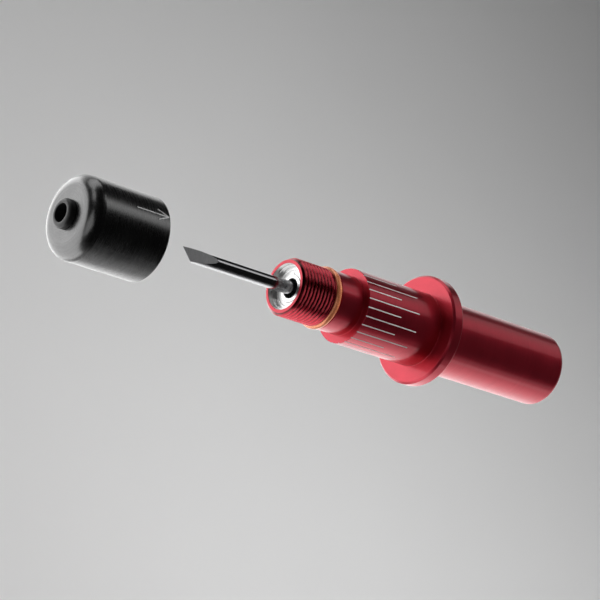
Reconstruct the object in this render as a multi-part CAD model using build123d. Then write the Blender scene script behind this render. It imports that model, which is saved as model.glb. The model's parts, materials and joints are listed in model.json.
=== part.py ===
from build123d import *
import math
import os

# Swivel drag-knife holder: a turned holder with a ball-bearing spindle, a round blade and a screw cap.
# Millimetres. The tool axis is X: the blade points along -X and the push button along +X.
# The origin is the centre of the flange's front face, and +Z passes through the arrow on the cap.

# Holder body, along the axis
BARREL_R = 5.75
BARREL_FRONT = -14.75
BARREL_CHAMFER = 0.1
FLANGE_R = 8.5
FLANGE_T = 2.0
SHANK_END = 27.3
NECK_R = 4.55
NOSE_RIM = -26.5
EDGE_BREAK = 0.3
SHANK_ROUND = 0.9

# Nose thread and O-ring
THREAD_R = 4.44
THREAD_PITCH = 0.65
THREAD_DEPTH = 0.36
THREAD_GROOVE_SHARE = 0.92
THREAD_CUT_OVER = 0.15
THREAD_REAR = -20.35
NOSE_CHAMFER = 0.45
ORING_X = -19.6
ORING_SECTION_R = 0.5
ORING_OUTER_R = 4.78
ORING_GROOVE_HALF = 0.55

# Bearings of 3 x 7 x 3 mm and the bores that hold them
BEARING_BORE_R = 1.5
BEARING_OUTER_R = 3.5
BEARING_W = 3.0
INNER_RING_R = 2.1
OUTER_RING_R = 2.6
BALL_R = 0.45
BALL_COUNT = 7
RACE_CLEARANCE = 0.03
CAGE_HALF_T = 0.13
CAGE_HALF_W = 0.8
SHIELD_T = 0.2
SHIELD_INSET = 0.1
SHIELD_SEAT_R = 2.72
SHIELD_GAP = 0.04
PUNCH_R = 0.12
PUNCH_ORBIT_R = 2.32
PUNCH_TURN = 144
FRONT_BEARING_X = NOSE_RIM + 1.2
REAR_BEARING_X = -7.6
SNAP_RING_T = 0.55
SNAP_RING_R = 3.2
SNAP_GROOVE_R = 3.75
SNAP_GAP_START = -160
SNAP_GAP_END = -88
SPACER_R = 3.0
WASHER_T = 0.4
WASHER_R = 2.9
SPINDLE_CLEARANCE_R = 2.6
WEB_REAR = 1.0
REAR_BORE_R = 3.75

# Spindle, magnet and blade
SPINDLE_FRONT = -23.6
SPINDLE_HEAD_R = 2.1
SPINDLE_REAR = -0.6
BLADE_BORE_R = 1.03
MAGNET_FRONT = -4.0
MAGNET_R = 1.5
MAGNET_L = 3.0
MAGNET_HOLE_R = 0.6
BLADE_R = 1.0
BLADE_LENGTH = 25.6
BLADE_TIP = -45.5
FACET_RUNOUT = -39.85
FACET_ANGLE = 11.0
FACET_TURN = 73.0
EDGE_LENGTH_X = 1.25
BEVEL_BACK = 1.2

# Rear plug and blade ejector
PLUG_REAR = 26.8
PLUG_L = 5.5
PLUG_HOLE_R = 1.5
BUTTON_R = 1.45
BUTTON_END = 30.0
BUTTON_FRONT = 17.3
BUTTON_ROUND = 0.5
CLIP_T = 0.5
CLIP_GROOVE_R = 1.1
CLIP_R = 2.5
CLIP_GAP = 1.6
PIN_R = 1.0
PIN_TIP_R = 0.45
PIN_TIP_X = -1.5
PIN_STEP_X = 4.0
PIN_SOCKET = 3.0
SPRING_R = 1.85
SPRING_WIRE_R = 0.2
SPRING_TURNS = 9

# Depth lines on the barrel
LINE_COUNT = 26
LINE_LONG = 10.2
LINE_SHORT = 6.6
LINE_W = 0.16
LINE_DEPTH = 0.1
LINE_TURN = 45.6

# Cap, unscrewed and set in front of the blade
CAP_MOUTH = -52.7
CAP_LENGTH = 13.2
CAP_R = 6.15
CAP_FRONT_ROUND = 2.1
CAP_BORE_R = 4.85
CAP_CREST_R = 4.54
CAP_ROOT_R = 4.9
CAP_THREAD_START = 5.2
CAP_THREAD_END = 11.0
CAP_GROOVE_SHARE = 0.8
CAP_DEPTH = 11.7
FOOT_R = 2.15
FOOT_STEM_R = 1.75
FOOT_HEIGHT = 1.05
FOOT_HOLE_R = 1.325
FOOT_ROUND = 0.5
FOOT_FIT = 0.04
ARROW_LENGTH = 5.5
ARROW_GAP = 0.25
ARROW_W = 0.17
BARB_BACK = 1.8
BARB_SIDE = 0.85
ARROW_DEPTH = 0.08

MATCH = 0.001
MARGIN = 1.0


def turned(*points):
    """A solid of revolution about X from (x, radius) corners."""
    return revolve(make_face(Polyline(*points, close=True)), axis=Axis.X)


def tube(x0, x1, outer, inner):
    return turned((x0, inner), (x1, inner), (x1, outer), (x0, outer))


def rod(x0, x1, radius):
    return turned((x0, 0), (x1, 0), (x1, radius), (x0, radius))


def ring_edges(solid, x, radius):
    rings = solid.edges().filter_by(GeomType.CIRCLE)
    return [e for e in rings if abs(e.arc_center.X - x) < MATCH and abs(e.radius - radius) < MATCH]


def around(solid, count, first=0.0):
    """Copies of a solid, evenly spaced about X."""
    return [solid.rotate(Axis.X, first + 360 * i / count) for i in range(count)]


def radial(degrees):
    """The unit vector across the axis, turned from -Y towards +Z."""
    angle = math.radians(degrees)
    return Vector(0, -math.cos(angle), math.sin(angle))


def surface_bar(x0, x1, width, outer, depth):
    """A thin bar let into a round surface at +Z, flush with it."""
    skin = tube(x0, x1, outer, outer - depth)
    block = Box(x1 - x0, width, outer * 2, align=(Align.MIN, Align.CENTER, Align.MIN))
    return skin & Pos(x0, 0, 0) * block


def depth_lines():
    bars = []
    step = 360 / LINE_COUNT
    for i in range(LINE_COUNT):
        length = LINE_LONG if i % 2 == 0 else LINE_SHORT
        bar = surface_bar(BARREL_FRONT, BARREL_FRONT + length, LINE_W, BARREL_R, LINE_DEPTH)
        turn = 90 - LINE_TURN - i * step
        bars.append(bar.rotate(Axis.X, turn))
    return bars


def thread_groove(x0, x1, radius, depth, pitch):
    """The V groove of a right-hand screw thread, cut from outside."""
    path = Helix(pitch, x1 - x0, radius, center=(x0, 0, 0), direction=(1, 0, 0))
    start = path @ 0
    out = Vector(0, start.Y, start.Z).normalized()
    half = pitch * THREAD_GROOVE_SHARE / 2
    over = THREAD_CUT_OVER
    wide = half * (depth + over) / depth
    along = Vector(1, 0, 0)
    corners = [start - out * depth, start + out * over + along * wide, start + out * over - along * wide]
    profile = make_face(Polyline(*corners, close=True))
    return sweep(profile, path=path, is_frenet=True)


def holder_body(lines):
    groove_r = ORING_OUTER_R - 2 * ORING_SECTION_R
    body = turned(
        (NOSE_RIM, 0),
        (NOSE_RIM, THREAD_R - NOSE_CHAMFER),
        (NOSE_RIM + NOSE_CHAMFER, THREAD_R),
        (ORING_X - ORING_GROOVE_HALF, THREAD_R),
        (ORING_X - ORING_GROOVE_HALF, groove_r),
        (ORING_X + ORING_GROOVE_HALF, groove_r),
        (ORING_X + ORING_GROOVE_HALF, NECK_R),
        (BARREL_FRONT, NECK_R),
        (BARREL_FRONT, BARREL_R),
        (0, BARREL_R),
        (0, FLANGE_R),
        (FLANGE_T, FLANGE_R),
        (FLANGE_T, BARREL_R),
        (SHANK_END, BARREL_R),
        (SHANK_END, 0),
    )
    body = fillet(ring_edges(body, SHANK_END, BARREL_R), SHANK_ROUND)
    body = chamfer(ring_edges(body, 0, FLANGE_R), EDGE_BREAK)
    body = fillet(ring_edges(body, FLANGE_T, FLANGE_R), EDGE_BREAK)
    body = chamfer(ring_edges(body, BARREL_FRONT, BARREL_R), BARREL_CHAMFER)
    washer_seat = REAR_BEARING_X + BEARING_W + WASHER_T
    body -= rod(NOSE_RIM, washer_seat, BEARING_OUTER_R)
    body -= rod(FRONT_BEARING_X - SNAP_RING_T, FRONT_BEARING_X, SNAP_GROOVE_R)
    body -= rod(washer_seat, WEB_REAR, SPINDLE_CLEARANCE_R)
    body -= rod(WEB_REAR, SHANK_END, REAR_BORE_R)
    body -= thread_groove(NOSE_RIM - THREAD_PITCH, THREAD_REAR, THREAD_R, THREAD_DEPTH, THREAD_PITCH)
    for bar in lines:
        body -= bar
    return body


def torus_x(x, major, minor):
    return revolve(Pos(x, major) * Circle(minor), axis=Axis.X)


def punch_mark(x):
    """The small round mark stamped through a bearing's front shield."""
    centre = Vector(x, 0, 0) + radial(PUNCH_TURN) * PUNCH_ORBIT_R
    return Plane(origin=centre, z_dir=(1, 0, 0)) * Cylinder(PUNCH_R, 3 * SHIELD_T)


def snap_ring(x1):
    """The open ring, sprung into a groove, that keeps the front bearing in."""
    ring = tube(x1 - SNAP_RING_T, x1, SNAP_GROOVE_R, SNAP_RING_R)
    far = 2 * SNAP_GROOVE_R
    gap_corners = [Vector(), radial(SNAP_GAP_START) * far, radial(SNAP_GAP_END) * far]
    wedge = make_face(Polyline(*gap_corners, close=True))
    return ring - Pos(x1 - 2 * SNAP_RING_T, 0, 0) * extrude(wedge, 3 * SNAP_RING_T, dir=(1, 0, 0))


def bearing(name, x0):
    """The separate pieces of one shielded ball bearing whose front face is at x0."""
    x1 = x0 + BEARING_W
    mid = x0 + BEARING_W / 2
    pitch_r = (INNER_RING_R + OUTER_RING_R) / 2
    race = torus_x(mid, pitch_r, BALL_R + RACE_CLEARANCE)
    seat_depth = SHIELD_INSET + SHIELD_T
    outer = tube(x0, x1, BEARING_OUTER_R, OUTER_RING_R) - race
    outer -= rod(x0, x0 + seat_depth, SHIELD_SEAT_R)
    outer -= rod(x1 - seat_depth, x1, SHIELD_SEAT_R)
    inner = tube(x0, x1, INNER_RING_R, BEARING_BORE_R) - race
    ball = Pos(mid, 0, pitch_r) * Sphere(BALL_R)
    pocket = Pos(mid, 0, pitch_r) * Sphere(BALL_R + RACE_CLEARANCE / 2)
    cage = tube(mid - CAGE_HALF_W, mid + CAGE_HALF_W, pitch_r + CAGE_HALF_T, pitch_r - CAGE_HALF_T)
    for hole in around(pocket, BALL_COUNT):
        cage -= hole
    shield_in = INNER_RING_R + SHIELD_GAP
    front = x0 + SHIELD_INSET
    rear = x1 - seat_depth
    return {
        f"{name}_outer_ring": outer,
        f"{name}_inner_ring": inner,
        f"{name}_balls": Compound(children=around(ball, BALL_COUNT)),
        f"{name}_cage": cage,
        f"{name}_front_shield": tube(front, front + SHIELD_T, SHIELD_SEAT_R, shield_in) - punch_mark(front),
        f"{name}_rear_shield": tube(rear, rear + SHIELD_T, SHIELD_SEAT_R, shield_in),
    }


def spindle():
    head = REAR_BEARING_X + BEARING_W
    body = turned(
        (SPINDLE_FRONT, BLADE_BORE_R),
        (MAGNET_FRONT, BLADE_BORE_R),
        (MAGNET_FRONT, MAGNET_R),
        (SPINDLE_REAR, MAGNET_R),
        (SPINDLE_REAR, SPINDLE_HEAD_R),
        (head, SPINDLE_HEAD_R),
        (head, BEARING_BORE_R),
        (SPINDLE_FRONT, BEARING_BORE_R),
    )
    return chamfer(ring_edges(body, SPINDLE_FRONT, BLADE_BORE_R), EDGE_BREAK)


def blade():
    """A round blade: one long ground facet, and an end bevel that leaves a slanting edge and a point."""
    rear = BLADE_TIP + BLADE_LENGTH
    body = rod(BLADE_TIP, rear, BLADE_R)
    body = chamfer(ring_edges(body, rear, BLADE_R), EDGE_BREAK / 2)
    slope = math.tan(math.radians(FACET_ANGLE))
    out = radial(FACET_TURN)
    side = radial(FACET_TURN + 90)
    run_out = Vector(FACET_RUNOUT, 0, 0) + out * BLADE_R
    facet = Plane(origin=run_out, z_dir=out - Vector(slope, 0, 0))
    body = split(body, bisect_by=facet, keep=Keep.BOTTOM)

    def edge_point(x, sign):
        height = BLADE_R - slope * (FACET_RUNOUT - x)
        reach = math.sqrt(BLADE_R ** 2 - height ** 2)
        return Vector(x, 0, 0) + out * height + side * (sign * reach)

    tip = edge_point(BLADE_TIP, 1)
    heel = edge_point(BLADE_TIP + EDGE_LENGTH_X, -1)
    back = Vector(BEVEL_BACK, 0, 0) - out
    normal = (heel - tip).cross(back)
    if normal.X > 0:
        normal = -normal
    bevel = Plane(origin=tip, z_dir=normal)
    return split(body, bisect_by=bevel, keep=Keep.BOTTOM)


def ejector_spring(x0, x1):
    path = Helix((x1 - x0) / SPRING_TURNS, x1 - x0, SPRING_R, center=(x0, 0, 0), direction=(1, 0, 0))
    return sweep(Plane(origin=path @ 0, z_dir=path % 0) * Circle(SPRING_WIRE_R), path=path, is_frenet=True)


def ejector_button(clip_x):
    body = rod(BUTTON_FRONT, BUTTON_END, BUTTON_R)
    body = fillet(ring_edges(body, BUTTON_END, BUTTON_R), BUTTON_ROUND)
    body -= rod(BUTTON_FRONT, BUTTON_FRONT + PIN_SOCKET, PIN_R)
    return body - tube(clip_x, clip_x + CLIP_T, BUTTON_R + EDGE_BREAK, CLIP_GROOVE_R)


def ejector_pin():
    end = BUTTON_FRONT + PIN_SOCKET
    return rod(PIN_TIP_X, PIN_STEP_X, PIN_TIP_R) + rod(PIN_STEP_X, end, PIN_R)


def stop_clip(clip_x):
    gap = Box(2 * CLIP_T, CLIP_GAP, 2 * CLIP_R, align=(Align.CENTER, Align.CENTER, Align.MIN))
    return tube(clip_x, clip_x + CLIP_T, CLIP_R, CLIP_GROOVE_R) - Pos(clip_x, 0, 0) * gap


def arrow_mark():
    """An open arrow let into the top of the cap, pointing at its mouth."""
    tip = CAP_MOUTH - ARROW_GAP
    corners = [(tip - BARB_BACK, BARB_SIDE), (tip, 0), (tip - BARB_BACK, -BARB_SIDE)]
    head = trace(Polyline(*corners), ARROW_W)
    shaft = trace(Line((tip - ARROW_LENGTH, 0), (tip - ARROW_W / 2, 0)), ARROW_W)
    stamp = extrude(head + shaft, CAP_R + MARGIN)
    skin = tube(tip - ARROW_LENGTH - MARGIN, CAP_MOUTH, CAP_R, CAP_R - ARROW_DEPTH)
    return skin & stamp


def cap_shell(arrow):
    front = CAP_MOUTH - CAP_LENGTH
    body = rod(front, CAP_MOUTH, CAP_R)
    body = fillet(ring_edges(body, front, CAP_R), CAP_FRONT_ROUND)
    body = chamfer(ring_edges(body, CAP_MOUTH, CAP_R), EDGE_BREAK / 2)
    body -= rod(CAP_MOUTH - CAP_THREAD_START, CAP_MOUTH, CAP_BORE_R)
    body -= rod(CAP_MOUTH - CAP_THREAD_END, CAP_MOUTH - CAP_THREAD_START, CAP_CREST_R)
    body -= rod(CAP_MOUTH - CAP_DEPTH, CAP_MOUTH - CAP_THREAD_END, CAP_ROOT_R)
    half = THREAD_PITCH * CAP_GROOVE_SHARE / 2
    x = CAP_MOUTH - CAP_THREAD_START
    while x - THREAD_PITCH > CAP_MOUTH - CAP_THREAD_END:
        x -= THREAD_PITCH
        inside = (x, CAP_CREST_R - half)
        body -= turned((x - half, CAP_CREST_R), (x, CAP_ROOT_R), (x + half, CAP_CREST_R), inside)
    body -= rod(front, CAP_MOUTH - CAP_DEPTH, FOOT_STEM_R + FOOT_FIT)
    return body - arrow


def cap_foot():
    front = CAP_MOUTH - CAP_LENGTH
    tip = front - FOOT_HEIGHT
    body = rod(tip, front - FOOT_FIT, FOOT_R)
    body = fillet(ring_edges(body, tip, FOOT_R), FOOT_ROUND)
    body += rod(front - FOOT_FIT, CAP_MOUTH - CAP_DEPTH, FOOT_STEM_R)
    body -= rod(tip, CAP_MOUTH - CAP_DEPTH, FOOT_HOLE_R)
    return chamfer(ring_edges(body, tip, FOOT_HOLE_R), EDGE_BREAK / 2)


def build():
    lines = depth_lines()
    arrow = arrow_mark()
    front_rear = FRONT_BEARING_X + BEARING_W
    washer_x = REAR_BEARING_X + BEARING_W
    clip_x = PLUG_REAR - PLUG_L - CLIP_T
    nodes = {
        "holder_body": holder_body(lines),
        "depth_lines": Compound(children=lines),
        "nose_o_ring": torus_x(ORING_X, ORING_OUTER_R - ORING_SECTION_R, ORING_SECTION_R),
        "bearing_snap_ring": snap_ring(FRONT_BEARING_X),
        "bearing_spacer": tube(front_rear, REAR_BEARING_X, BEARING_OUTER_R, SPACER_R),
        "preload_washer": tube(washer_x, washer_x + WASHER_T, BEARING_OUTER_R, WASHER_R),
        "blade_spindle": spindle(),
        "blade_magnet": tube(MAGNET_FRONT, MAGNET_FRONT + MAGNET_L, MAGNET_R, MAGNET_HOLE_R),
        "swivel_blade": blade(),
        "rear_plug": tube(PLUG_REAR - PLUG_L, PLUG_REAR, REAR_BORE_R, PLUG_HOLE_R),
        "ejector_pin": ejector_pin(),
        "ejector_button": ejector_button(clip_x),
        "ejector_stop_clip": stop_clip(clip_x),
        "ejector_spring": ejector_spring(WEB_REAR + SPRING_WIRE_R, clip_x - SPRING_WIRE_R),
        "cap_shell": cap_shell(arrow),
        "cap_arrow": arrow,
        "cap_foot": cap_foot(),
    }
    nodes.update(bearing("front_bearing", FRONT_BEARING_X))
    nodes.update(bearing("rear_bearing", REAR_BEARING_X))
    return nodes


os.makedirs("parts", exist_ok=True)
for name, shape in build().items():
    export_step(shape, f"parts/{name}.step")
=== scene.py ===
import json
import math

import bmesh
import bpy
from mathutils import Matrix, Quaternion, Vector


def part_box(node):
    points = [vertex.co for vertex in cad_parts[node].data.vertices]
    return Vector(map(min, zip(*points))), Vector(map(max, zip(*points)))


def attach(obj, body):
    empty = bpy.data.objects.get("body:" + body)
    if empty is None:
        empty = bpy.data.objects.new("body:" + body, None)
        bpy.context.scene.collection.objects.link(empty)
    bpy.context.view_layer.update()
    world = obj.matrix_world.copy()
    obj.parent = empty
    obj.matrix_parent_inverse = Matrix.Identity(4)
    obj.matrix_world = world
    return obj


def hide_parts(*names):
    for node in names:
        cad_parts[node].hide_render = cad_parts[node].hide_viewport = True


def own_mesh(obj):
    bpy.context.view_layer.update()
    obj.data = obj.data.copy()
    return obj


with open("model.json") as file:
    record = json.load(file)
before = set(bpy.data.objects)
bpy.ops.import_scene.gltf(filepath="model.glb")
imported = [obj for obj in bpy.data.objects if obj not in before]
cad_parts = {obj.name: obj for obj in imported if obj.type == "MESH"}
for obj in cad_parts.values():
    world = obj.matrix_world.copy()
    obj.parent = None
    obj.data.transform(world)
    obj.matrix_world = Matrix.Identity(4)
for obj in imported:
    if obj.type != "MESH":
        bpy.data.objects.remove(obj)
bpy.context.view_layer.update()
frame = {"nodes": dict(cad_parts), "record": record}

# Sizes are in millimetres and meshes are in metres. The tool's axis is X, and psi turns from -Y towards +Z.
MM = 0.001


def node_span(node):
    """Front x, rear x and outer radius of a round CAD node, in millimetres."""
    low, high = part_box(node)
    return low.x / MM, high.x / MM, high.y / MM


NOSE_RIM, SHANK_END, FLANGE_R = node_span("holder_body")
CAP_FRONT, CAP_MOUTH, CAP_R = node_span("cap_shell")
FOOT_FRONT, FOOT_REAR, FOOT_R = node_span("cap_foot")
BLADE_TIP, BLADE_REAR, BLADE_R = node_span("swivel_blade")
BEARING_FRONT, BEARING_REAR, BEARING_R = node_span("front_bearing_outer_ring")
SHIELD_FRONT, SHIELD_REAR, SHIELD_R = node_span("front_bearing_front_shield")
SPINDLE_FRONT, SPINDLE_REAR, SPINDLE_HEAD_R = node_span("blade_spindle")
SNAP_FRONT, SNAP_REAR, SNAP_GROOVE_R = node_span("bearing_snap_ring")
PLUG_FRONT, PLUG_REAR, PLUG_R = node_span("rear_plug")
BUTTON_FRONT, BUTTON_REAR, BUTTON_R = node_span("ejector_button")
ORING_FRONT, ORING_REAR, ORING_R = node_span("nose_o_ring")
LINE_FRONT, LINE_REAR, BARREL_R = node_span("depth_lines")

FLANGE_T = 2.0
NECK_R = 4.55
THREAD_R = 4.44
THREAD_PITCH = 0.65
THREAD_DEPTH = 0.36
NOSE_CHAMFER = 0.45
ORING_GROOVE_R = ORING_R - (ORING_REAR - ORING_FRONT)
CREST_FLAT = 0.06
ORING_SIDE = 0.05
FLANGE_CHAMFER = 0.3
LINE_COUNT = 26
LINE_SHORT = 6.6
LINE_HALF_W = 0.085
LINE_DEPTH = 0.1
LINE_TURN = 45.6
CAP_BORE_R = 4.85
CAP_CREST_R = 4.54
CAP_THREAD_START = 5.2
CAP_THREAD_END = 11.0
CAP_DEPTH = 11.7
ARROW_GAP = 0.25
ARROW_LENGTH = 5.5
ARROW_HALF_W = 0.095
ARROW_DEPTH = 0.09
BARB_BACK = 1.8
BARB_SIDE = 0.85


# ---------------------------------------------------------------- meshes

ARC_STEPS = 5
HOLD = 0.03


def outline(corners):
    """Points of a profile from (x, r, round) corners.

    A rounded corner gets an arc and a holding point on each side.
    """
    points = []
    count = len(corners)
    for i, (x, r, size) in enumerate(corners):
        here = Vector((x, r))
        if size == 0:
            points.append(here)
            continue
        before = Vector(corners[i - 1][:2]) - here
        after = Vector(corners[(i + 1) % count][:2]) - here
        half = before.angle(after) / 2
        reach = size / math.tan(half)
        start = here + before.normalized() * reach
        end = here + after.normalized() * reach
        centre = here + (before.normalized() + after.normalized()).normalized() * (size / math.sin(half))
        turn = (start - centre).angle_signed(end - centre)
        if before.length > reach + 2 * HOLD:
            points.append(here + before.normalized() * (reach + HOLD))
        for k in range(ARC_STEPS + 1):
            arm = start - centre
            angle = -turn * k / ARC_STEPS
            points.append(centre + Vector((
                arm.x * math.cos(angle) - arm.y * math.sin(angle),
                arm.x * math.sin(angle) + arm.y * math.cos(angle),
            )))
        if after.length > reach + 2 * HOLD:
            points.append(here + after.normalized() * (reach + HOLD))
    return points


def with_rows(points, x0, x1, radius, step):
    """The same profile with its straight run at that radius, from x0 to x1, cut into short steps."""
    result = []
    for i, point in enumerate(points):
        result.append(point)
        after = points[(i + 1) % len(points)]
        level = abs(point.y - radius) < 0.01 and abs(after.y - radius) < 0.01
        if not level or abs(after.x - point.x) < 2 * step:
            continue
        count = int(abs(after.x - point.x) / step)
        for k in range(1, count):
            mid = point.lerp(after, k / count)
            if x0 <= mid.x <= x1:
                result.append(mid)
    return result


def even(count):
    return [360 * i / count for i in range(count)]


def place(x, r, psi):
    angle = math.radians(psi)
    return Vector((x, -r * math.cos(angle), r * math.sin(angle))) * MM


def to_object(name, mesh_data, materials, sharp=38):
    mesh = bpy.data.meshes.new(name)
    mesh_data.to_mesh(mesh)
    mesh_data.free()
    for polygon in mesh.polygons:
        polygon.use_smooth = True
    mesh.set_sharp_from_angle(angle=math.radians(sharp))
    for material in materials:
        mesh.materials.append(material)
    piece = bpy.data.objects.new(name, mesh)
    bpy.context.scene.collection.objects.link(piece)
    return piece


def spin(points, columns, relief=None, slot_of=None):
    """A closed bmesh turned about X from a closed profile. relief(x, r, psi) may move a point."""
    work = bmesh.new()
    rings = []
    for x, r in points:
        if r < 1e-6:
            rings.append([work.verts.new((x * MM, 0, 0))])
            continue
        ring = []
        for psi in columns:
            at = relief(x, r, psi) if relief else (x, r)
            ring.append(work.verts.new(place(at[0], at[1], psi)))
        rings.append(ring)
    count = len(columns)
    for i, ring in enumerate(rings):
        after = rings[(i + 1) % len(rings)]
        slot = slot_of(points[i], points[(i + 1) % len(rings)]) if slot_of else 0
        if len(ring) == 1 and len(after) == 1:
            continue
        for k in range(count):
            j = (k + 1) % count
            if len(ring) == 1:
                corners = (ring[0], after[j], after[k])
            elif len(after) == 1:
                corners = (ring[k], ring[j], after[0])
            else:
                corners = (ring[k], ring[j], after[j], after[k])
            work.faces.new(corners).material_index = slot
    bmesh.ops.recalc_face_normals(work, faces=work.faces)
    return work


def adopt(piece, body, slot, *nodes):
    """The piece rides on its body and stands for those CAD nodes."""
    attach(piece, body)
    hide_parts(*nodes)


def groove_depth(x, psi, pitch, depth):
    """Depth of a right-hand V thread at a point, with narrow rounded crests and roots."""
    phase = (x / pitch - psi / 360) % 1.0
    away = abs(phase - 0.5) * 2
    ramp = min(max((away - 0.08) / 0.84, 0.0), 1.0)
    return depth * (1 - ramp)


# ---------------------------------------------------------------- materials

class Shader:
    """A material and short ways to add and link its nodes."""

    def __init__(self, name):
        self.material = bpy.data.materials.new(name)
        self.material.use_nodes = True
        self.tree = self.material.node_tree
        self.bsdf = self.tree.nodes["Principled BSDF"]
        place_node = self.add("ShaderNodeTexCoord")
        scaled = self.add("ShaderNodeVectorMath", operation="MULTIPLY")
        scaled.inputs[1].default_value = (1 / MM, 1 / MM, 1 / MM)
        self.link(place_node.outputs["Object"], scaled.inputs[0])
        self.mm = scaled.outputs[0]

    def add(self, kind, **settings):
        node = self.tree.nodes.new(kind)
        for key, value in settings.items():
            setattr(node, key, value)
        return node

    def link(self, source, target):
        self.tree.links.new(source, target)

    def math(self, operation, first, second):
        node = self.add("ShaderNodeMath", operation=operation)
        for slot, value in enumerate((first, second)):
            if isinstance(value, (int, float)):
                node.inputs[slot].default_value = value
            else:
                self.link(value, node.inputs[slot])
        return node.outputs[0]

    def noise(self, vector, scale, detail=4, roughness=0.6):
        node = self.add("ShaderNodeTexNoise")
        node.inputs["Scale"].default_value = scale
        node.inputs["Detail"].default_value = detail
        node.inputs["Roughness"].default_value = roughness
        self.link(vector, node.inputs["Vector"])
        return node.outputs["Fac"]

    def remap(self, value, low, high, start=0.3, end=0.7):
        node = self.add("ShaderNodeMapRange")
        node.inputs["From Min"].default_value = start
        node.inputs["From Max"].default_value = end
        node.inputs["To Min"].default_value = low
        node.inputs["To Max"].default_value = high
        self.link(value, node.inputs["Value"])
        return node.outputs[0]

    def lathe_vector(self, fineness, sweep=0.35):
        """Texture space that runs round the tool's axis, as turning marks do, on cylinders and end faces."""
        parts = self.add("ShaderNodeSeparateXYZ")
        self.link(self.mm, parts.inputs[0])
        x, y, z = parts.outputs
        r = self.radius()
        along = self.math("MULTIPLY", self.math("ADD", x, r), fineness)
        safe = self.math("MAXIMUM", r, 0.05)
        joined = self.add("ShaderNodeCombineXYZ")
        self.link(along, joined.inputs[0])
        self.link(self.math("MULTIPLY", self.math("DIVIDE", y, safe), sweep), joined.inputs[1])
        self.link(self.math("MULTIPLY", self.math("DIVIDE", z, safe), sweep), joined.inputs[2])
        return joined.outputs[0]

    def radius(self):
        """Distance from the tool's axis, in millimetres."""
        parts = self.add("ShaderNodeSeparateXYZ")
        self.link(self.mm, parts.inputs[0])
        _, y, z = parts.outputs
        squares = self.math("ADD", self.math("MULTIPLY", y, y), self.math("MULTIPLY", z, z))
        return self.math("SQRT", squares, 0)

    def darken(self, share):
        """Scales the base colour by a share of one."""
        source = self.bsdf.inputs["Base Color"].links[0].from_socket
        scaled = self.add("ShaderNodeVectorMath", operation="SCALE")
        self.link(source, scaled.inputs[0])
        self.link(share, scaled.inputs["Scale"])
        self.link(scaled.outputs[0], self.bsdf.inputs["Base Color"])

    def colour(self, value, dark, light):
        ramp = self.add("ShaderNodeValToRGB")
        ramp.color_ramp.elements[0].position = 0.3
        ramp.color_ramp.elements[1].position = 0.7
        ramp.color_ramp.elements[0].color = (*dark, 1)
        ramp.color_ramp.elements[1].color = (*light, 1)
        self.link(value, ramp.inputs["Fac"])
        self.link(ramp.outputs["Color"], self.bsdf.inputs["Base Color"])

    def bumps(self, *layers):
        """Stacks (height, distance in millimetres, strength) bumps into the normal."""
        normal = None
        for height, distance, strength in layers:
            bump = self.add("ShaderNodeBump")
            bump.inputs["Distance"].default_value = distance * MM
            bump.inputs["Strength"].default_value = strength
            self.link(height, bump.inputs["Height"])
            if normal is not None:
                self.link(normal, bump.inputs["Normal"])
            normal = bump.outputs["Normal"]
        self.link(normal, self.bsdf.inputs["Normal"])

    def set(self, **values):
        for name, value in values.items():
            self.bsdf.inputs[name.replace("_", " ")].default_value = value


def shades(colour, spread):
    return tuple(c * (1 - spread) for c in colour), tuple(min(c * (1 + spread), 1) for c in colour)


def turned_metal(
    name, colour, roughness, metallic=1.0, marks=0.0006, grain=0.0004, spread=0.12, coat=0.0, painted_root_shade=None
):
    """Machined metal: fine turning marks, a slight grain, faint smears and an uneven tint.

    Given the radii of a thread's roots and crests, the base colour is darkened towards the roots: a painted
    shade in the grooves.
    """
    shader = Shader(name)
    marks_fine = shader.noise(shader.lathe_vector(14), 1.0, 5, 0.7)
    marks_wide = shader.noise(shader.lathe_vector(2.2, 0.2), 1.0, 3)
    speckle = shader.noise(shader.mm, 16, 2)
    smear = shader.noise(shader.mm, 0.35, 4)
    uneven = 0.02 + roughness / 9
    tint = shader.math("ADD", shader.math("MULTIPLY", smear, 0.6), shader.math("MULTIPLY", marks_wide, 0.4))
    shader.colour(tint, *shades(colour, spread))
    rough = shader.math("ADD", shader.remap(marks_fine, -uneven, uneven), shader.remap(smear, -0.03, 0.03))
    shader.link(shader.math("ADD", rough, roughness), shader.bsdf.inputs["Roughness"])
    shader.bumps((marks_fine, marks, 0.5), (speckle, grain, 0.5))
    shader.set(Metallic=metallic, Coat_Weight=coat, Coat_Roughness=0.12)
    # Painted shade: the base colour darkens towards the thread's roots.
    if painted_root_shade is not None:
        shader.darken(shader.remap(shader.radius(), 0.12, 1.0, *painted_root_shade))
    return shader.material


def paint_fill(name, colour):
    """Paint settled in an engraving, slightly uneven and chalky."""
    shader = Shader(name)
    patches = shader.noise(shader.mm, 1.4, 5)
    grain = shader.noise(shader.mm, 14, 3)
    shader.colour(patches, *shades(colour, 0.12))
    shader.link(shader.remap(grain, 0.4, 0.65), shader.bsdf.inputs["Roughness"])
    shader.bumps((grain, 0.01, 0.5), (patches, 0.02, 0.4))
    return shader.material


def elastomer(name, colour):
    """A smooth moulded ring with a faint bloom and fine moulding grain."""
    shader = Shader(name)
    bloom = shader.noise(shader.mm, 0.8, 4)
    grain = shader.noise(shader.mm, 22, 3)
    shader.colour(bloom, *shades(colour, 0.14))
    shader.link(shader.remap(grain, 0.2, 0.32), shader.bsdf.inputs["Roughness"])
    shader.bumps((grain, 0.002, 0.5))
    shader.set(Metallic=0.55, Coat_Weight=0.6, Coat_Roughness=0.1)
    return shader.material


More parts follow.
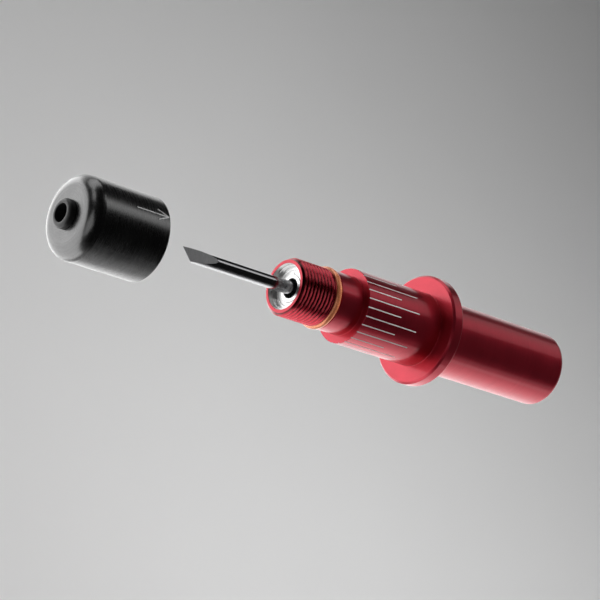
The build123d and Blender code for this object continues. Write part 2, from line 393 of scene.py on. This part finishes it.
def moulded(name, colour):
    """Fine-grained black plastic."""
    shader = Shader(name)
    grain = shader.noise(shader.mm, 12, 4)
    patches = shader.noise(shader.mm, 0.7, 3)
    shader.colour(patches, *shades(colour, 0.25))
    shader.link(shader.remap(grain, 0.32, 0.48), shader.bsdf.inputs["Roughness"])
    shader.bumps((grain, 0.006, 0.5))
    return shader.material


def ground_flat(name, colour, roughness):
    """Carbide ground across the flat: fine scratches that run across the blade."""
    shader = Shader(name)
    stretch = shader.add("ShaderNodeVectorMath", operation="MULTIPLY")
    stretch.inputs[1].default_value = (30, 1.2, 1.2)
    shader.link(shader.mm, stretch.inputs[0])
    scratches = shader.noise(stretch.outputs[0], 1.0, 5, 0.7)
    patches = shader.noise(shader.mm, 0.9, 3)
    shader.colour(scratches, *shades(colour, 0.25))
    rough = shader.math("ADD", shader.remap(scratches, -0.07, 0.08), shader.remap(patches, -0.04, 0.05))
    shader.link(shader.math("ADD", rough, roughness), shader.bsdf.inputs["Roughness"])
    shader.bumps((scratches, 0.0005, 0.4))
    shader.set(Metallic=0.7)
    return shader.material


def studio_floor(name, colour):
    """Pale matte card with a very faint mottling."""
    shader = Shader(name)
    mottle = shader.noise(shader.mm, 0.01, 3)
    shader.colour(mottle, *shades(colour, 0.015))
    shader.set(Roughness=0.9)
    return shader.material


SMOOTH = {"marks": 0.00002, "grain": 0.00002, "spread": 0.04}
RED = turned_metal(
    "red_anodised_aluminium", (0.42, 0.022, 0.040), 0.36, metallic=0.94, coat=0.5, marks=0.0008, grain=0.0006
)
# The thread's roots are darkened in colour: painted shade in the grooves.
RED_THREAD = turned_metal(
    "red_cut_thread", (0.42, 0.020, 0.036), 0.25, metallic=0.97, coat=0.4, marks=0.0001, grain=0.0001,
    painted_root_shade=(THREAD_R - THREAD_DEPTH, THREAD_R - CREST_FLAT),
)
BLACK = turned_metal(
    "black_anodised_aluminium", (0.15, 0.15, 0.15), 0.27, coat=0.2, marks=0.00008, grain=0.0001, spread=0.15
)
FOOT = moulded("black_foot_plastic", (0.012, 0.012, 0.012))
WHITE_PAINT = paint_fill("white_paint_fill", (0.36, 0.33, 0.33))
GREY_PAINT = paint_fill("grey_paint_fill", (0.38, 0.38, 0.38))
ORING = elastomer("copper_coloured_elastomer", (0.70, 0.23, 0.10))
BARE = turned_metal("bare_bored_aluminium", (0.72, 0.72, 0.71), 0.3, **SMOOTH)
BEARING = turned_metal("bearing_steel", (0.78, 0.78, 0.78), 0.26, **SMOOTH)
SHIELD = turned_metal("bearing_shield_steel", (0.82, 0.82, 0.82), 0.34, **SMOOTH)
BALLS = turned_metal("ball_steel", (0.8, 0.8, 0.81), 0.06, marks=0.0001)
CAGE = turned_metal("cage_steel", (0.55, 0.54, 0.52), 0.3)
SPRING_STEEL = turned_metal("spring_steel", (0.5, 0.5, 0.5), 0.2)
BLACKENED = turned_metal("blackened_steel", (0.035, 0.037, 0.035), 0.35, spread=0.25)
NICKEL = turned_metal("nickel_plate", (0.62, 0.6, 0.56), 0.18)
CARBIDE = turned_metal(
    "polished_carbide", (0.40, 0.40, 0.41), 0.13, marks=0.00002, grain=0.00002, spread=0.05
)
CARBIDE_GROUND = ground_flat("ground_carbide", (0.30, 0.30, 0.305), 0.45)
BRIGHT_STEEL = turned_metal("bright_turned_steel", (0.72, 0.72, 0.73), 0.18)
PIN_STEEL = turned_metal("ground_pin_steel", (0.55, 0.55, 0.56), 0.15)

NODE_MATERIALS = {
    "red_anodised": RED,
    "white_fill": WHITE_PAINT,
    "copper_rubber": ORING,
    "bare_aluminium": BARE,
    "spring_steel": SPRING_STEEL,
    "bearing_steel": BEARING,
    "ball_steel": BALLS,
    "cage_steel": CAGE,
    "shield_steel": SHIELD,
    "dark_steel": BLACKENED,
    "magnet_nickel": NICKEL,
    "carbide": CARBIDE,
    "pin_steel": PIN_STEEL,
    "bright_steel": BRIGHT_STEEL,
    "black_anodised": BLACK,
    "grey_fill": GREY_PAINT,
    "black_foot": FOOT,
}


def dress_cad_nodes():
    """Every carried-over CAD node gets the procedural material of its slot."""
    slots = {part["node"]: part["material_slot"] for part in frame["record"]["subparts"]}
    for name, piece in frame["nodes"].items():
        material = NODE_MATERIALS[slots[name]]
        for index in range(max(len(piece.material_slots), 1)):
            if index >= len(piece.data.materials):
                piece.data.materials.append(material)
            else:
                piece.data.materials[index] = material


# ---------------------------------------------------------------- holder

def line_columns():
    """Angles round the barrel, close together at the walls of each engraved line."""
    half = math.degrees(LINE_HALF_W / BARREL_R)
    wall = 0.12
    step = 360 / LINE_COUNT
    between = 9
    columns = []
    for i in range(LINE_COUNT):
        centre = LINE_TURN + i * step
        columns += [centre - half - wall, centre - half, centre + half, centre + half + wall]
        start = centre + half + wall
        room = step - 2 * (half + wall)
        columns += [start + room * k / between for k in range(1, between)]
    return columns


def line_end(psi):
    """Where the engraved line at this angle ends, or None beside the lines."""
    step = 360 / LINE_COUNT
    turns = (psi - LINE_TURN) / step
    nearest = round(turns)
    if abs(turns - nearest) * step > math.degrees(LINE_HALF_W / BARREL_R) + 0.01:
        return None
    return LINE_REAR if nearest % 2 == 0 else LINE_FRONT + LINE_SHORT


def holder_relief(x, r, psi):
    thread_rear = ORING_FRONT - ORING_SIDE
    if r > THREAD_R - NOSE_CHAMFER and x < thread_rear - 0.2:
        fade = min(max((thread_rear - 0.2 - x) / 0.3, 0.0), 1.0)
        return x, min(r, THREAD_R - groove_depth(x, psi, THREAD_PITCH, THREAD_DEPTH) * fade)
    if r > NECK_R + 0.5 and x < 0 and r < BARREL_R + 0.01:
        end = line_end(psi)
        if end is not None and x < end + 0.001:
            return x, min(r, BARREL_R - LINE_DEPTH)
    return x, r


def holder_slot(start, end):
    """The thread is 2, the bare front bore and the chamber behind it are 1, and the rest is 0."""
    outside = min(start.y, end.y) > THREAD_R - NOSE_CHAMFER + 0.02
    if outside and max(start.x, end.x) < ORING_FRONT - ORING_SIDE + 0.01:
        return 2
    inside = start.y < BEARING_R + 0.3 and end.y < BEARING_R + 0.3 and start.x < 0 and end.x < 0
    wall = abs(start.y - end.y) < 0.001 or start.x > SNAP_FRONT - 0.01
    return 1 if inside and wall and start.y < NECK_R - 0.6 and not on_oring_groove(start, end) else 0


def on_oring_groove(start, end):
    return ORING_FRONT - 0.2 < start.x < ORING_REAR + 0.2 and start.y > BEARING_R + 0.1


def holder():
    step = 0.004
    web_rear = 1.0
    rear_bore = PLUG_R
    bearing_seat = -4.2
    web_bore = 2.6
    groove_front = ORING_FRONT - ORING_SIDE
    groove_rear = ORING_REAR + ORING_SIDE
    short_end = LINE_FRONT + LINE_SHORT
    corners = [
        (NOSE_RIM, BEARING_R, 0.06),
        (NOSE_RIM, THREAD_R - NOSE_CHAMFER, 0.05),
        (NOSE_RIM + NOSE_CHAMFER, THREAD_R, 0.04),
        (groove_front, THREAD_R, 0.05),
        (groove_front, ORING_GROOVE_R, 0.08),
        (groove_rear, ORING_GROOVE_R, 0.08),
        (groove_rear, NECK_R, 0.06),
        (LINE_FRONT, NECK_R, 0.05),
        (LINE_FRONT, BARREL_R, 0.08),
        (short_end, BARREL_R, 0),
        (short_end + step, BARREL_R, 0),
        (LINE_REAR, BARREL_R, 0),
        (LINE_REAR + step, BARREL_R, 0),
        (0, BARREL_R, 0.06),
        (0, FLANGE_R - FLANGE_CHAMFER, 0.04),
        (FLANGE_CHAMFER, FLANGE_R, 0.04),
        (FLANGE_T, FLANGE_R, 0.3),
        (FLANGE_T, BARREL_R, 0.12),
        (SHANK_END, BARREL_R, 0.9),
        (SHANK_END, rear_bore, 0.12),
        (web_rear, rear_bore, 0.2),
        (web_rear, web_bore, 0.1),
        (bearing_seat, web_bore, 0.1),
        (bearing_seat, BEARING_R, 0.05),
        (SNAP_REAR, BEARING_R, 0),
        (SNAP_REAR, SNAP_GROOVE_R, 0),
        (SNAP_FRONT, SNAP_GROOVE_R, 0),
        (SNAP_FRONT, BEARING_R, 0.03),
    ]
    points = with_rows(outline(corners), NOSE_RIM, groove_front, THREAD_R, 0.035)
    work = spin(points, line_columns(), holder_relief, holder_slot)
    piece = to_object("holder", work, [RED, BARE, RED_THREAD])
    adopt(piece, "holder", "red_anodised", "holder_body")


def oring():
    section = (ORING_REAR - ORING_FRONT) / 2
    middle = (ORING_FRONT + ORING_REAR) / 2
    steps = 48
    points = []
    for i in range(steps):
        angle = 2 * math.pi * i / steps
        flash = 0.006 * math.exp(-((math.sin(angle) - 1) * 60) ** 2)
        size = section + flash
        points.append(Vector((middle + size * math.cos(angle), ORING_R - section + size * math.sin(angle))))
    piece = to_object("o_ring", spin(points, even(256)), [ORING])
    adopt(piece, "holder", "copper_rubber", "nose_o_ring")


def simple_ring(name, corners, material, body, slot, node, columns=192):
    piece = to_object(name, spin(outline(corners), even(columns)), [material])
    adopt(piece, body, slot, node)
    return piece


def snap_ring():
    """An open ring: a rounded section swept round, with a gap and blunt ends."""
    inner = 3.2
    gap_start = -160
    gap_end = -88
    section = outline([
        (SNAP_FRONT, inner, 0.1),
        (SNAP_REAR, inner, 0.08),
        (SNAP_REAR, SNAP_GROOVE_R, 0.05),
        (SNAP_FRONT, SNAP_GROOVE_R, 0.05),
    ])
    steps = 160
    sweep = 360 - (gap_end - gap_start)
    work = bmesh.new()
    rings = []
    for i in range(steps + 1):
        psi = gap_end + sweep * i / steps
        rings.append([work.verts.new(place(x, r, psi)) for x, r in section])
    for ring, after in zip(rings, rings[1:]):
        for k in range(len(section)):
            j = (k + 1) % len(section)
            work.faces.new((ring[k], ring[j], after[j], after[k]))
    work.faces.new(rings[0])
    work.faces.new(list(reversed(rings[-1])))
    bmesh.ops.recalc_face_normals(work, faces=work.faces)
    piece = to_object("snap_ring", work, [SPRING_STEEL])
    adopt(piece, "holder", "spring_steel", "bearing_snap_ring")


def front_shield():
    """The visible shield: a pressed disc with a rolled edge and one small punch mark."""
    inner = 2.14
    punch_r = 0.12
    punch_orbit = 2.32
    punch_turn = 144
    centre = place(0, punch_orbit, punch_turn) / MM
    near = [punch_turn - 6 + 0.5 * k for k in range(25)]
    columns = sorted([a for a in even(180) if abs(a - punch_turn) > 6.2] + near)

    def relief(x, r, psi):
        at = place(0, r, psi) / MM
        if x < SHIELD_FRONT + 0.01 and (at - centre).length < punch_r:
            return x + 0.15, r
        return x, r

    corners = [
        (SHIELD_FRONT, inner, 0.03),
        (SHIELD_REAR, inner, 0.03),
        (SHIELD_REAR, SHIELD_R, 0.03),
        (SHIELD_FRONT + 0.03, SHIELD_R - 0.01, 0),
        (SHIELD_FRONT, SHIELD_R - 0.07, 0.04),
    ]
    rows = [(SHIELD_FRONT, punch_orbit + 0.14 - 0.02 * k, 0) for k in range(14)]
    piece = to_object("front_shield", spin(outline(corners + rows), columns, relief), [SHIELD])
    adopt(piece, "holder", "shield_steel", "front_bearing_front_shield")


def bearing_rings():
    race = 2.6
    seat_depth = SHIELD_REAR - BEARING_FRONT
    simple_ring("front_outer_ring", [
        (BEARING_FRONT, SHIELD_R, 0.05),
        (BEARING_FRONT, BEARING_R, 0.08),
        (BEARING_REAR, BEARING_R, 0.08),
        (BEARING_REAR, SHIELD_R, 0.05),
        (BEARING_REAR - seat_depth, SHIELD_R, 0),
        (BEARING_REAR - seat_depth, race, 0.02),
        (BEARING_FRONT + seat_depth, race, 0.02),
        (BEARING_FRONT + seat_depth, SHIELD_R, 0),
    ], BEARING, "holder", "bearing_steel", "front_bearing_outer_ring")
    bore = 1.5
    inner_land = 2.1
    simple_ring("front_inner_ring", [
        (BEARING_FRONT, bore, 0.1),
        (BEARING_REAR, bore, 0.1),
        (BEARING_REAR, inner_land, 0.04),
        (BEARING_FRONT, inner_land, 0.03),
    ], BEARING, "spindle", "bearing_steel", "front_bearing_inner_ring")


def spindle():
    bore = 1.03
    tube_r = 1.5
    head = -4.6
    magnet_front, _, magnet_r = node_span("blade_magnet")
    simple_ring("spindle_tube", [
        (SPINDLE_FRONT, bore, 0.2),
        (magnet_front, bore, 0),
        (magnet_front, magnet_r, 0),
        (SPINDLE_REAR, magnet_r, 0.08),
        (SPINDLE_REAR, SPINDLE_HEAD_R, 0.15),
        (head, SPINDLE_HEAD_R, 0.1),
        (head, tube_r, 0.05),
        (SPINDLE_FRONT, tube_r, 0.1),
    ], BLACKENED, "spindle", "dark_steel", "blade_spindle")


def rear_end():
    hole = 1.5
    simple_ring("rear_end_plug", [
        (PLUG_FRONT, hole, 0.1),
        (PLUG_FRONT, PLUG_R, 0.1),
        (PLUG_REAR, PLUG_R, 0.15),
        (PLUG_REAR, hole, 0.15),
    ], RED, "holder", "red_anodised", "rear_plug")
    socket = 3.0
    pin = 1.0
    groove_r = 1.1
    clip_front, clip_rear, _ = node_span("ejector_stop_clip")
    simple_ring("push_button", [
        (BUTTON_FRONT, pin, 0),
        (BUTTON_FRONT, BUTTON_R, 0.15),
        (clip_front, BUTTON_R, 0.03),
        (clip_front, groove_r, 0),
        (clip_rear, groove_r, 0),
        (clip_rear, BUTTON_R, 0.03),
        (BUTTON_REAR, BUTTON_R, 0.5),
        (BUTTON_REAR, 0, 0),
        (BUTTON_FRONT + socket, 0, 0),
        (BUTTON_FRONT + socket, pin, 0),
    ], BRIGHT_STEEL, "ejector", "bright_steel", "ejector_button")


def coil_spring():
    """The ejector's spring: a copy of the CAD coil that stays on its seat with the holder."""
    node = frame["nodes"]["ejector_spring"]
    piece = bpy.data.objects.new("ejector_coil_spring", node.data.copy())
    bpy.context.collection.objects.link(piece)
    adopt(piece, "holder", "spring_steel", "ejector_spring")
    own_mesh(piece)


# ---------------------------------------------------------------- blade

FACET_RUNOUT = -39.85
FACET_ANGLE = 11.0
FACET_TURN = 73.0
EDGE_LENGTH_X = 1.25
BEVEL_BACK = 1.2


def blade():
    """A round rod, cut by the long ground flat and by the end bevel."""
    corners = [
        (BLADE_TIP, 0, 0),
        (BLADE_TIP, BLADE_R, 0),
        (BLADE_REAR - 0.15, BLADE_R, 0.04),
        (BLADE_REAR, BLADE_R - 0.15, 0.04),
        (BLADE_REAR, 0, 0),
    ]
    points = with_rows(outline(corners), BLADE_TIP, BLADE_REAR, BLADE_R, 1.0)
    work = spin(points, even(128))
    slope = math.tan(math.radians(FACET_ANGLE))
    out = place(0, 1, FACET_TURN) / MM
    side = place(0, 1, FACET_TURN + 90) / MM

    def edge_point(x, sign):
        height = BLADE_R - slope * (FACET_RUNOUT - x)
        reach = math.sqrt(BLADE_R ** 2 - height ** 2)
        return Vector((x, 0, 0)) + out * height + side * (sign * reach)

    tip = edge_point(BLADE_TIP, 1)
    heel = edge_point(BLADE_TIP + EDGE_LENGTH_X, -1)
    run_out = Vector((FACET_RUNOUT, 0, 0)) + out * BLADE_R
    bevel = (heel - tip).cross(Vector((BEVEL_BACK, 0, 0)) - out)
    if bevel.x > 0:
        bevel = -bevel
    cut_and_close(work, run_out, out - Vector((slope, 0, 0)))
    cut_and_close(work, tip, bevel)
    piece = to_object("round_blade", work, [CARBIDE, CARBIDE_GROUND], sharp=12)
    adopt(piece, "blade", "carbide", "swivel_blade")


def cut_and_close(work, point, normal):
    """Cuts a bmesh at a plane, drops the normal's side and closes the cut with a ground face."""
    everything = work.verts[:] + work.edges[:] + work.faces[:]
    cut = bmesh.ops.bisect_plane(
        work, geom=everything, plane_co=point * MM, plane_no=normal, dist=1e-8, clear_outer=True
    )
    rim = [e for e in cut["geom_cut"] if isinstance(e, bmesh.types.BMEdge) and e.is_boundary]
    made = bmesh.ops.edgeloop_fill(work, edges=rim)
    for face in made["faces"]:
        face.material_index = 1
    bmesh.ops.recalc_face_normals(work, faces=work.faces)


# ---------------------------------------------------------------- cap

def distance_to_segment(point, start, end):
    along = end - start
    t = min(max((point - start).dot(along) / along.length_squared, 0), 1)
    return (point - start - along * t).length


def cap_relief(x, r, psi):
    if CAP_CREST_R - 0.01 < r < CAP_CREST_R + 0.01:
        start = CAP_MOUTH - CAP_THREAD_START
        end = CAP_MOUTH - CAP_THREAD_END
        fade = min(max((min(start - x, x - end) - 0.1) / 0.3, 0.0), 1.0)
        return x, r + groove_depth(x, psi, THREAD_PITCH, THREAD_DEPTH) * fade
    if r > CAP_R - 0.005 and abs(psi - 90) < 12:
        tip = Vector((CAP_MOUTH - ARROW_GAP, 0))
        at = Vector((x, math.radians(psi - 90) * CAP_R))
        strokes = [
            (tip, tip - Vector((ARROW_LENGTH, 0))),
            (tip, tip - Vector((BARB_BACK, BARB_SIDE))),
            (tip, tip - Vector((BARB_BACK, -BARB_SIDE))),
        ]
        if min(distance_to_segment(at, *stroke) for stroke in strokes) < ARROW_HALF_W:
            return x, r - ARROW_DEPTH
    return x, r


def cap():
    relief_r = 4.9
    foot_hole = 1.79
    corners = [
        (CAP_MOUTH, CAP_BORE_R, 0.12),
        (CAP_MOUTH, CAP_R, 0.12),
        (CAP_FRONT, CAP_R, 2.1),
        (CAP_FRONT, foot_hole, 0.05),
        (CAP_MOUTH - CAP_DEPTH, foot_hole, 0.05),
        (CAP_MOUTH - CAP_DEPTH, relief_r, 0.15),
        (CAP_MOUTH - CAP_THREAD_END, relief_r, 0.05),
        (CAP_MOUTH - CAP_THREAD_END, CAP_CREST_R, 0.05),
        (CAP_MOUTH - CAP_THREAD_START, CAP_CREST_R, 0.05),
        (CAP_MOUTH - CAP_THREAD_START, CAP_BORE_R, 0.05),
    ]
    points = outline(corners)
    points = with_rows(points, CAP_MOUTH - ARROW_LENGTH - 0.5, CAP_MOUTH, CAP_R, 0.045)
    points = with_rows(points, CAP_FRONT, CAP_MOUTH, CAP_CREST_R, 0.06)
    near = [79.5 + 0.4 * k for k in range(54)]
    columns = sorted([a for a in even(240) if a < 79 or a > 101.5] + near)
    piece = to_object("screw_cap", spin(points, columns, cap_relief), [BLACK])
    adopt(piece, "cap", "black_anodised", "cap_shell")


def cap_foot():
    stem = 1.75
    hole = 1.325
    shoulder = CAP_FRONT - 0.04
    simple_ring("cap_end_foot", [
        (FOOT_FRONT, hole, 0.14),
        (FOOT_FRONT, FOOT_R, 0.5),
        (shoulder, FOOT_R, 0.04),
        (shoulder, stem, 0),
        (FOOT_REAR, stem, 0.05),
        (FOOT_REAR, hole, 0.1),
    ], FOOT, "cap_carrier", "black_foot", "cap_foot")


# ---------------------------------------------------------------- stage

AIM = Vector((-14.03, 6.33, -9.25)) * MM
LOOK = Vector((0.62201, 0.50852, -0.59540))
CAMERA_DISTANCE = 383.84 * MM
CAMERA_ROLL = -54.2
CAMERA_LENS = 151.7
SENSOR = 36.0


def camera():
    data = bpy.data.cameras.new("camera")
    data.lens = CAMERA_LENS
    data.sensor_width = SENSOR
    data.clip_start = 0.01
    view = bpy.data.objects.new("camera", data)
    bpy.context.scene.collection.objects.link(view)
    view.location = AIM - LOOK * CAMERA_DISTANCE
    view.rotation_mode = "QUATERNION"
    roll = Quaternion(LOOK, math.radians(CAMERA_ROLL))
    view.rotation_quaternion = roll @ LOOK.to_track_quat("-Z", "Y")
    bpy.context.scene.camera = view


# Whether the camera and whether reflections see a light
UNSEEN = (False, False)
CAMERA_ONLY = (True, False)
REFLECTED = (False, True)


def softbox(name, place_at, aim, size, radiance, seen_in):
    """An area light of a given radiance, which seen_in shows or hides."""
    data = bpy.data.lights.new(name, "AREA")
    data.shape = "RECTANGLE"
    data.size, data.size_y = size
    data.energy = radiance * math.pi * size[0] * size[1]
    light = bpy.data.objects.new(name, data)
    bpy.context.scene.collection.objects.link(light)
    light.location = place_at
    light.rotation_mode = "QUATERNION"
    light.rotation_quaternion = (Vector(aim) - Vector(place_at)).to_track_quat("-Z", "Y")
    light.visible_camera, light.visible_glossy = seen_in
    return light


FLOOR_DROP = 0.12
FLOOR_SIZE = 6.0
PANEL_LIFT = 0.001
AWAY = Vector((0.774, 0.633, 0))
ACROSS = Vector((0.633, -0.774, 0))


def floor_panel(name, near, far, left, right, radiance):
    """A panel just above the floor that faces up, set out in the camera's plan directions."""
    centre = AWAY * ((near + far) / 2) + ACROSS * ((left + right) / 2)
    place_at = (centre.x, centre.y, PANEL_LIFT - FLOOR_DROP)
    light = softbox(name, place_at, (0, 0, 1), (far - near, right - left), radiance, REFLECTED)
    heading = Quaternion((0, 0, 1), math.atan2(AWAY.y, AWAY.x))
    light.rotation_quaternion = heading @ Quaternion((1, 0, 0), math.pi)


def stage():
    low = -FLOOR_DROP
    half = FLOOR_SIZE / 2
    work = bmesh.new()
    bmesh.ops.create_grid(work, x_segments=8, y_segments=8, size=half)
    bmesh.ops.translate(work, verts=work.verts, vec=(0, 0, low))
    floor = to_object("studio_floor", work, [studio_floor("pale_card", (0.78, 0.78, 0.78))])
    front = (-0.30, 0.12)
    softbox("key", (0.085, -0.02, 0.1), (0.085, -0.02, low), (0.2, 0.2), 3.3, UNSEEN)
    softbox("room", (0, 0, 3.0), (0, 0, 0), (4, 4), 0.10, CAMERA_ONLY)
    floor_panel("under_panel", -0.010, 0.12, -0.4, 2.0, 1.1)
    floor_panel("far_panel", 0.12, 2.5, -1.2, 2.0, 0.75)
    softbox("front_panel", (*front, PANEL_LIFT + low), (*front, 1), (0.54, 0.66), 1.6, REFLECTED)
    softbox("far_side", (-0.1, 0.4, 0.12), (0, 0, 0), (0.42, 0.2), 1.3, REFLECTED)
    softbox("low_side", (0.30, -0.25, -0.01), (0.05, 0, 0), (0.12, 0.12), 0.6, REFLECTED)
    softbox("near_side", (-0.4, -0.12, 0.10), (0, 0, 0), (0.26, 0.26), 0.7, REFLECTED)
    softbox("front_side", (-0.42, 0.30, 0.26), (0, 0, 0), (0.2, 0.2), 0.9, REFLECTED)
    softbox("rear_top", (0.20, 0.12, 0.16), (0.06, 0, 0), (0.12, 0.20), 0.5, REFLECTED)
    softbox("top_band", (0.06, 0.072, 0.177), (0, 0, 0), (0.13, 0.06), 0.95, REFLECTED)
    world = bpy.data.worlds.new("studio")
    world.use_nodes = True
    world.node_tree.nodes["Background"].inputs["Color"].default_value = (0.01, 0.01, 0.01, 1)
    bpy.context.scene.world = world
    bpy.context.scene.view_settings.view_transform = "Standard"


dress_cad_nodes()
holder()
oring()
snap_ring()
front_shield()
bearing_rings()
spindle()
rear_end()
coil_spring()
blade()
cap()
cap_foot()
camera()
stage()
